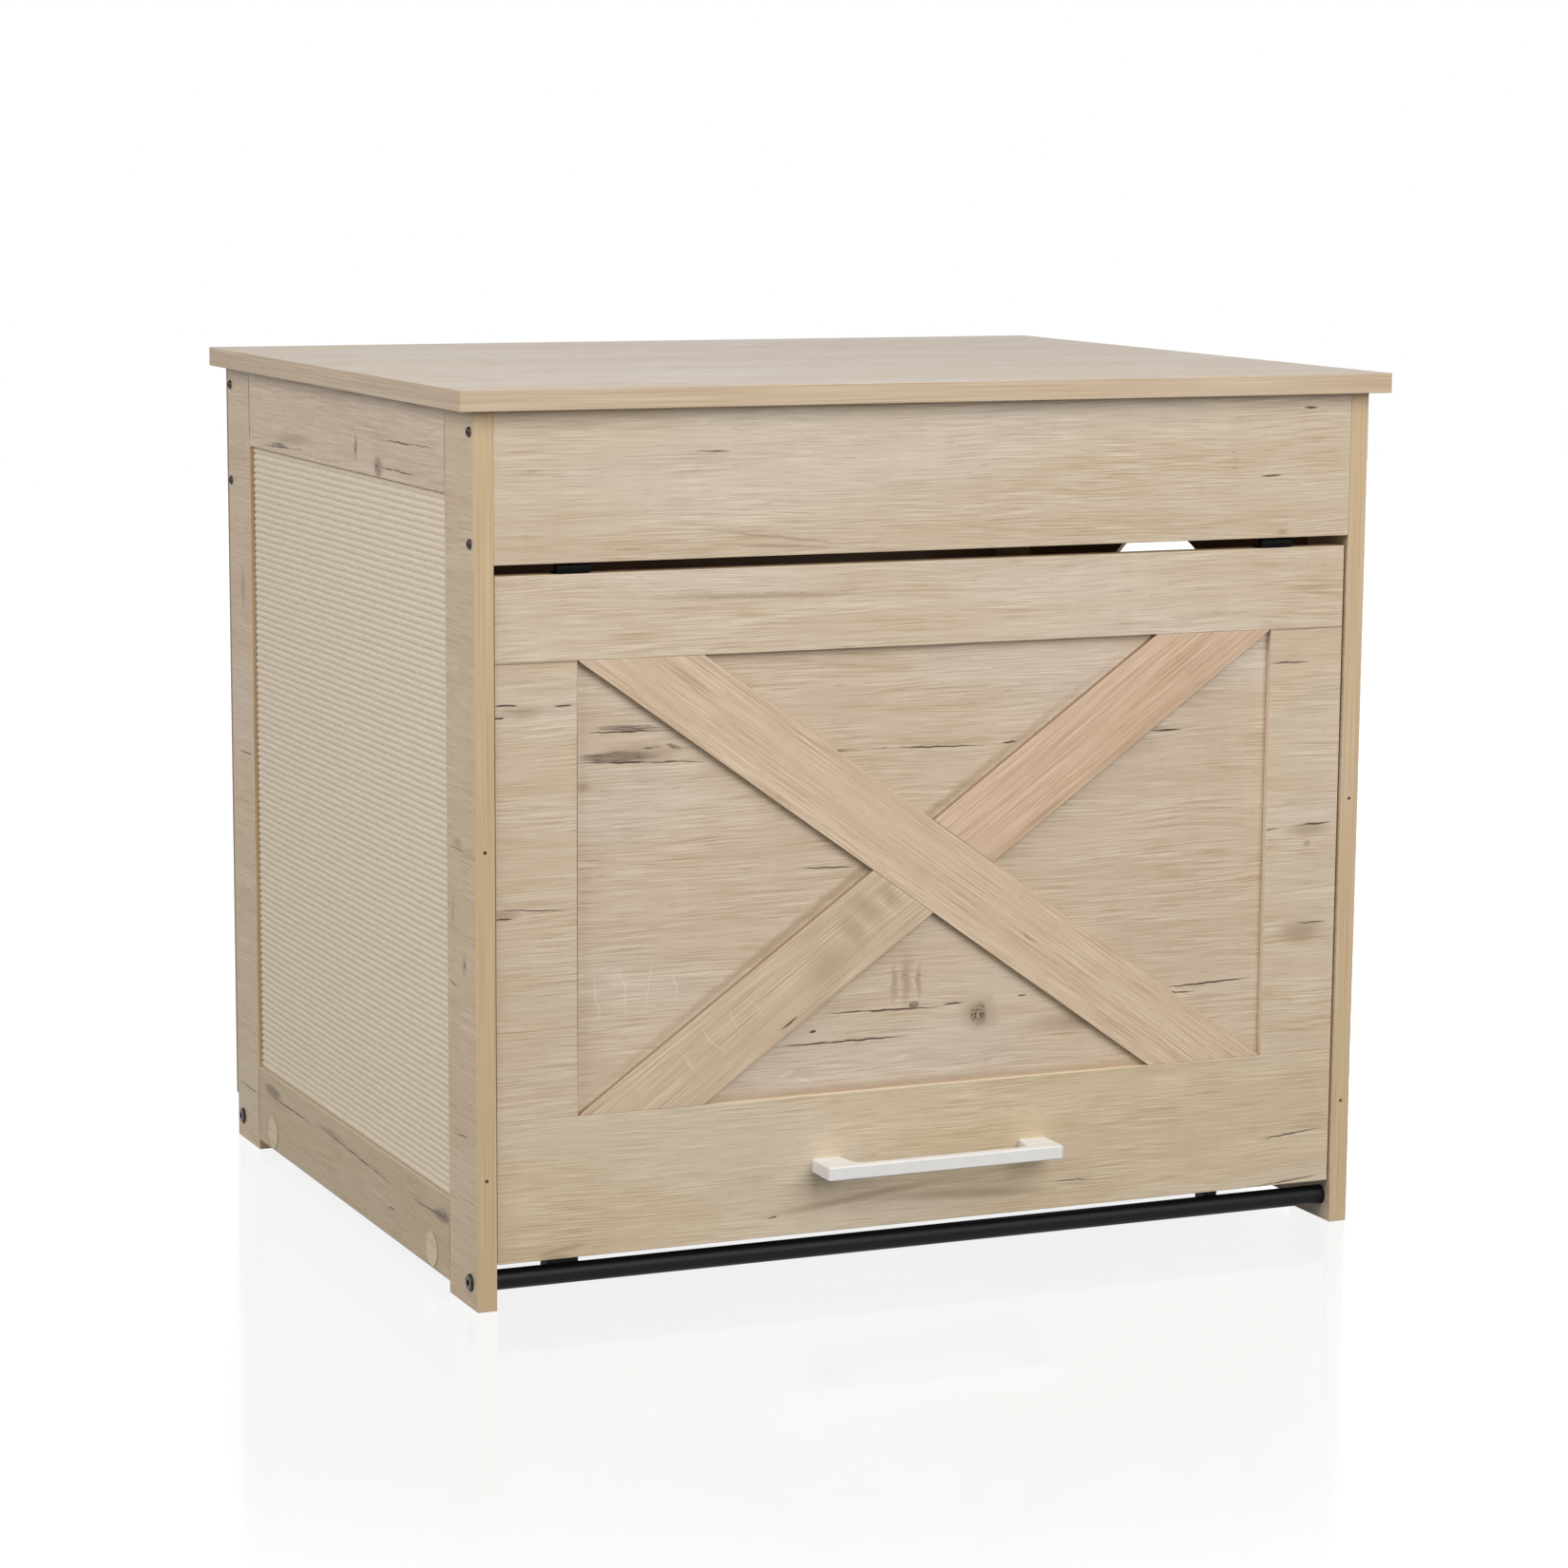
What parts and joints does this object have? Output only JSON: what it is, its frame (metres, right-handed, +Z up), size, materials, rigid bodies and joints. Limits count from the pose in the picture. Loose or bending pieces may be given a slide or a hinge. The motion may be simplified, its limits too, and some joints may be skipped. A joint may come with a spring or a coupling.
{
  "type": "cat house",
  "caption": "Box-shaped oak-look cat cabinet with a cross-braced flap door that lifts on top hinges, a scratch mat in one side and a round cat entrance in the other.",
  "frame": {"origin": "on the floor, under the middle of the whole object's box", "axes": "+Z up, the flap door and its handle face -Y, +X to the right seen from the front"},
  "size_m": [0.796, 0.6882, 0.706],
  "materials": {
    "oak_board": "light oak laminate on board, fine horizontal grain, satin",
    "infill_board": "light oak laminate on thin board",
    "back_board": "light oak printed thin board",
    "door_board": "light oak laminate with knots and fine cracks",
    "door_frame": "light oak laminate strips",
    "brace_oak": "warmer oak laminate strips, grain along the strip",
    "scratch_mat": "beige ribbed scratch weave",
    "black_tube": "black satin powder coat",
    "dark_bolt": "dark nickel plated socket head bolts",
    "screw_steel": "nickel plated cross-head screws",
    "cam_zinc": "die-cast zinc",
    "beech_dowel": "fluted beech",
    "oak_sticker": "oak-look cover stickers",
    "zinc_plate": "zinc plated sheet steel",
    "black_hinge": "black coated steel",
    "white_handle": "matte off-white coated zinc alloy",
    "black_plastic": "black moulded plastic",
    "magnet": "ferrite magnet",
    "rubber_pad": "black rubber"
  },
  "bodies": {
    "house": {"top_panel": "oak_board", "front_fascia": "oak_board", "rear_rail": "oak_board", "left_front_stile": "oak_board", "left_rear_stile": "oak_board", "right_front_stile": "oak_board", "right_rear_stile": "oak_board", "left_top_rail": "oak_board", "left_bottom_rail": "oak_board", "right_top_rail": "oak_board", "right_bottom_rail": "oak_board", "left_infill_panel": "infill_board", "right_infill_panel": "infill_board", "back_panel": "back_board", "left_scratch_mat": "scratch_mat", "front_tube": "black_tube", "rear_tube": "black_tube", "tube_bolts": "dark_bolt", "rail_screws": "screw_steel", "back_screws": "screw_steel", "bracket_screws": "screw_steel", "catch_screw": "screw_steel", "stop_screw": "screw_steel", "cam_bolts": "screw_steel", "tube_inserts": "screw_steel", "cam_locks": "cam_zinc", "rail_dowels": "beech_dowel", "cover_stickers": "oak_sticker", "top_brackets": "zinc_plate", "fascia_hinge_leaves": "black_hinge", "hinge_pins": "black_hinge", "fascia_hinge_screws": "black_hinge", "catch_body": "black_plastic", "stop_body": "black_plastic", "catch_magnet": "magnet", "stop_pad": "rubber_pad"},
    "door": {"door_panel": "door_board", "door_top_rail": "door_frame", "door_bottom_rail": "door_frame", "door_left_stile": "door_frame", "door_right_stile": "door_frame", "door_brace_long": "brace_oak", "door_brace_upper": "brace_oak", "door_brace_lower": "brace_oak", "door_handle": "white_handle", "handle_screws": "screw_steel", "door_hinge_leaves": "black_hinge", "door_hinge_screws": "black_hinge", "strike_plate": "zinc_plate", "strike_screws": "screw_steel"}
  },
  "joints": [
    {"name": "door_lift", "type": "hinge", "parent": "house", "child": "door", "pos_m": [0, -0.3091, 0.57025], "axis": [-1, 0, 0], "range_deg": [0, 95]}
  ]
}
